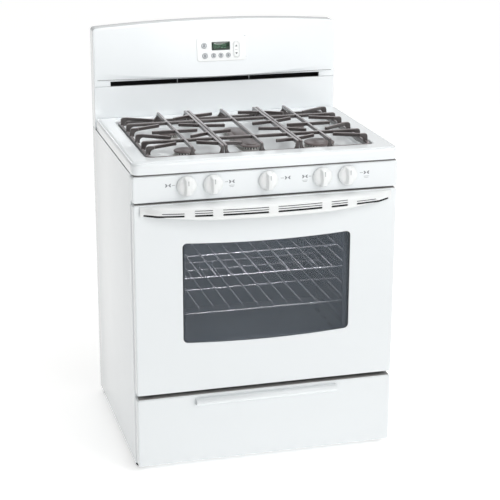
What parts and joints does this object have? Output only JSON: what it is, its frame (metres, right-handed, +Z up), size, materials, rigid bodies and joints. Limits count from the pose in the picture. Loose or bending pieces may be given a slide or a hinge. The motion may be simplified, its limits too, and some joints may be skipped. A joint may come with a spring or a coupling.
{
  "type": "freestanding gas range",
  "caption": "Freestanding white gas range: open grates over sealed burners, push-to-turn knobs, drop-down oven door with window and bow handle, sliding racks and a storage drawer.",
  "frame": {"origin": "on the floor, under the middle of the outer box", "axes": "+X to the right as seen from the front, +Y to the rear, +Z up; the front faces -Y"},
  "size_m": [0.76, 0.695, 1.199],
  "materials": {
    "white_enamel": "glossy cool white porcelain enamel",
    "white_plastic": "satin moulded white",
    "grey_enamel": "speckled dark grey oven enamel",
    "galvanised_sheet": "galvanised sheet",
    "bare_steel": "bare drawn steel",
    "chrome_wire": "bright plated wire",
    "cast_aluminium": "cast, matt",
    "grate_enamel": "grey brown enamel",
    "cap_enamel": "satin grey brown enamel",
    "tinted_glass": "slate tinted, polished",
    "display_glass": "dark green display window",
    "dark_rubber": "matt black",
    "key_plastic": "dark grey satin"
  },
  "bodies": {
    "range_body": {"side_panel_left": "white_enamel", "side_panel_right": "white_enamel", "rear_cover": "galvanised_sheet", "base_frame": "galvanised_sheet", "oven_liner": "grey_enamel", "oven_floor": "grey_enamel", "bake_burner": "bare_steel", "control_panel": "white_enamel", "gas_manifold": "bare_steel", "gas_regulator": "cast_aluminium", "cooktop": "white_enamel", "burner_head_front_left": "cast_aluminium", "burner_head_rear_left": "cast_aluminium", "burner_head_rear_right": "cast_aluminium", "burner_head_front_right": "cast_aluminium", "burner_head_center": "cast_aluminium", "backguard_shell": "white_enamel", "console_panel": "white_enamel", "splash_panel": "white_enamel", "keypad_plate": "white_plastic", "display_window": "display_glass", "door_hinge_left": "bare_steel", "door_hinge_right": "bare_steel"},
    "leveling_leg_front_left": {"leveling_leg_front_left": "dark_rubber"},
    "leveling_leg_front_right": {"leveling_leg_front_right": "dark_rubber"},
    "leveling_leg_rear_left": {"leveling_leg_rear_left": "dark_rubber"},
    "leveling_leg_rear_right": {"leveling_leg_rear_right": "dark_rubber"},
    "oven_door": {"door_panel": "white_enamel", "door_glass": "tinted_glass", "door_liner": "grey_enamel", "door_inner_glass": "tinted_glass", "door_handle": "white_plastic"},
    "storage_drawer": {"drawer_front": "white_enamel", "drawer_tray": "galvanised_sheet"},
    "oven_rack_lower": {"oven_rack_lower": "chrome_wire"},
    "oven_rack_upper": {"oven_rack_upper": "chrome_wire"},
    "valve_stem_1": {"valve_stem_1": "bare_steel"},
    "knob_1": {"knob_1": "white_plastic"},
    "valve_stem_2": {"valve_stem_2": "bare_steel"},
    "knob_2": {"knob_2": "white_plastic"},
    "valve_stem_3": {"valve_stem_3": "bare_steel"},
    "knob_3": {"knob_3": "white_plastic"},
    "valve_stem_4": {"valve_stem_4": "bare_steel"},
    "knob_4": {"knob_4": "white_plastic"},
    "valve_stem_5": {"valve_stem_5": "bare_steel"},
    "knob_5": {"knob_5": "white_plastic"},
    "grate_left": {"grate_left": "grate_enamel"},
    "grate_center": {"grate_center": "grate_enamel"},
    "grate_right": {"grate_right": "grate_enamel"},
    "burner_cap_front_left": {"burner_cap_front_left": "cap_enamel"},
    "burner_cap_rear_left": {"burner_cap_rear_left": "cap_enamel"},
    "burner_cap_rear_right": {"burner_cap_rear_right": "cap_enamel"},
    "burner_cap_front_right": {"burner_cap_front_right": "cap_enamel"},
    "burner_cap_center": {"burner_cap_center": "cap_enamel"},
    "key_bake": {"key_bake": "key_plastic"},
    "key_broil": {"key_broil": "key_plastic"},
    "key_clean": {"key_clean": "key_plastic"},
    "key_timer": {"key_timer": "key_plastic"},
    "key_clock": {"key_clock": "key_plastic"},
    "key_up_down": {"key_up_down": "key_plastic"}
  },
  "joints": [
    {"name": "leveling_leg_front_left_turn", "type": "hinge", "parent": "range_body", "child": "leveling_leg_front_left", "pos_m": [-0.358, -0.225, 0], "axis": [0, 0, 1], "continuous": true},
    {"name": "leveling_leg_front_right_turn", "type": "hinge", "parent": "range_body", "child": "leveling_leg_front_right", "pos_m": [0.358, -0.225, 0], "axis": [0, 0, 1], "continuous": true},
    {"name": "leveling_leg_rear_left_turn", "type": "hinge", "parent": "range_body", "child": "leveling_leg_rear_left", "pos_m": [-0.358, 0.318, 0], "axis": [0, 0, 1], "continuous": true},
    {"name": "leveling_leg_rear_right_turn", "type": "hinge", "parent": "range_body", "child": "leveling_leg_rear_right", "pos_m": [0.358, 0.318, 0], "axis": [0, 0, 1], "continuous": true},
    {"name": "door_hinge", "type": "hinge", "parent": "range_body", "child": "oven_door", "pos_m": [0, -0.27, 0.247], "axis": [1, 0, 0], "range_deg": [0, 90], "stiffness_Nm_per_rad": 14, "springref_deg": -6.88},
    {"name": "drawer_slide", "type": "slide", "parent": "range_body", "child": "storage_drawer", "axis": [0, -1, 0], "range_m": [0, 0.4]},
    {"name": "oven_rack_lower_slide", "type": "slide", "parent": "range_body", "child": "oven_rack_lower", "axis": [0, -1, 0], "range_m": [0, 0.25]},
    {"name": "oven_rack_upper_slide", "type": "slide", "parent": "range_body", "child": "oven_rack_upper", "axis": [0, -1, 0], "range_m": [0, 0.25]},
    {"name": "knob_1_push", "type": "slide", "parent": "range_body", "child": "valve_stem_1", "axis": [0, 1, 0], "range_m": [0, 0.003], "stiffness_N_per_m": 600},
    {"name": "knob_1_turn", "type": "hinge", "parent": "valve_stem_1", "child": "knob_1", "pos_m": [-0.23, -0.2912, 0.843], "axis": [0, -1, 0], "range_deg": [0, 240]},
    {"name": "knob_2_push", "type": "slide", "parent": "range_body", "child": "valve_stem_2", "axis": [0, 1, 0], "range_m": [0, 0.003], "stiffness_N_per_m": 600},
    {"name": "knob_2_turn", "type": "hinge", "parent": "valve_stem_2", "child": "knob_2", "pos_m": [-0.156, -0.2912, 0.843], "axis": [0, -1, 0], "range_deg": [0, 240]},
    {"name": "knob_3_push", "type": "slide", "parent": "range_body", "child": "valve_stem_3", "axis": [0, 1, 0], "range_m": [0, 0.003], "stiffness_N_per_m": 600},
    {"name": "knob_3_turn", "type": "hinge", "parent": "valve_stem_3", "child": "knob_3", "pos_m": [0, -0.2912, 0.843], "axis": [0, -1, 0], "range_deg": [0, 240]},
    {"name": "knob_4_push", "type": "slide", "parent": "range_body", "child": "valve_stem_4", "axis": [0, 1, 0], "range_m": [0, 0.003], "stiffness_N_per_m": 600},
    {"name": "knob_4_turn", "type": "hinge", "parent": "valve_stem_4", "child": "knob_4", "pos_m": [0.156, -0.2912, 0.843], "axis": [0, -1, 0], "range_deg": [0, 240]},
    {"name": "knob_5_push", "type": "slide", "parent": "range_body", "child": "valve_stem_5", "axis": [0, 1, 0], "range_m": [0, 0.003], "stiffness_N_per_m": 600},
    {"name": "knob_5_turn", "type": "hinge", "parent": "valve_stem_5", "child": "knob_5", "pos_m": [0.23, -0.2912, 0.843], "axis": [0, -1, 0], "range_deg": [0, 240]},
    {"name": "grate_left_lift", "type": "slide", "parent": "range_body", "child": "grate_left", "axis": [0, 0, 1], "range_m": [0, 0.08]},
    {"name": "grate_center_lift", "type": "slide", "parent": "range_body", "child": "grate_center", "axis": [0, 0, 1], "range_m": [0, 0.08]},
    {"name": "grate_right_lift", "type": "slide", "parent": "range_body", "child": "grate_right", "axis": [0, 0, 1], "range_m": [0, 0.08]},
    {"name": "burner_cap_front_left_lift", "type": "slide", "parent": "range_body", "child": "burner_cap_front_left", "axis": [0, 0, 1], "range_m": [0, 0.004]},
    {"name": "burner_cap_rear_left_lift", "type": "slide", "parent": "range_body", "child": "burner_cap_rear_left", "axis": [0, 0, 1], "range_m": [0, 0.004]},
    {"name": "burner_cap_rear_right_lift", "type": "slide", "parent": "range_body", "child": "burner_cap_rear_right", "axis": [0, 0, 1], "range_m": [0, 0.004]},
    {"name": "burner_cap_front_right_lift", "type": "slide", "parent": "range_body", "child": "burner_cap_front_right", "axis": [0, 0, 1], "range_m": [0, 0.004]},
    {"name": "burner_cap_center_lift", "type": "slide", "parent": "range_body", "child": "burner_cap_center", "axis": [0, 0, 1], "range_m": [0, 0.004]},
    {"name": "key_bake_press", "type": "slide", "parent": "range_body", "child": "key_bake", "axis": [0, 0.9917, -0.1283], "range_m": [0, 0.0008], "stiffness_N_per_m": 800},
    {"name": "key_broil_press", "type": "slide", "parent": "range_body", "child": "key_broil", "axis": [0, 0.9917, -0.1283], "range_m": [0, 0.0008], "stiffness_N_per_m": 800},
    {"name": "key_clean_press", "type": "slide", "parent": "range_body", "child": "key_clean", "axis": [0, 0.9917, -0.1283], "range_m": [0, 0.0008], "stiffness_N_per_m": 800},
    {"name": "key_timer_press", "type": "slide", "parent": "range_body", "child": "key_timer", "axis": [0, 0.9917, -0.1283], "range_m": [0, 0.0008], "stiffness_N_per_m": 800},
    {"name": "key_clock_press", "type": "slide", "parent": "range_body", "child": "key_clock", "axis": [0, 0.9917, -0.1283], "range_m": [0, 0.0008], "stiffness_N_per_m": 800},
    {"name": "key_up_down_rock", "type": "hinge", "parent": "range_body", "child": "key_up_down", "pos_m": [0.059, 0.27861, 1.10703], "axis": [1, 0, 0], "range_deg": [-2, 2], "stiffness_Nm_per_rad": 0.3}
  ],
  "couplings": [
    {"joint": "oven_rack_lower_slide", "follows": "door_hinge", "m_per_rad": 0.159},
    {"joint": "oven_rack_upper_slide", "follows": "door_hinge", "m_per_rad": 0.159}
  ]
}
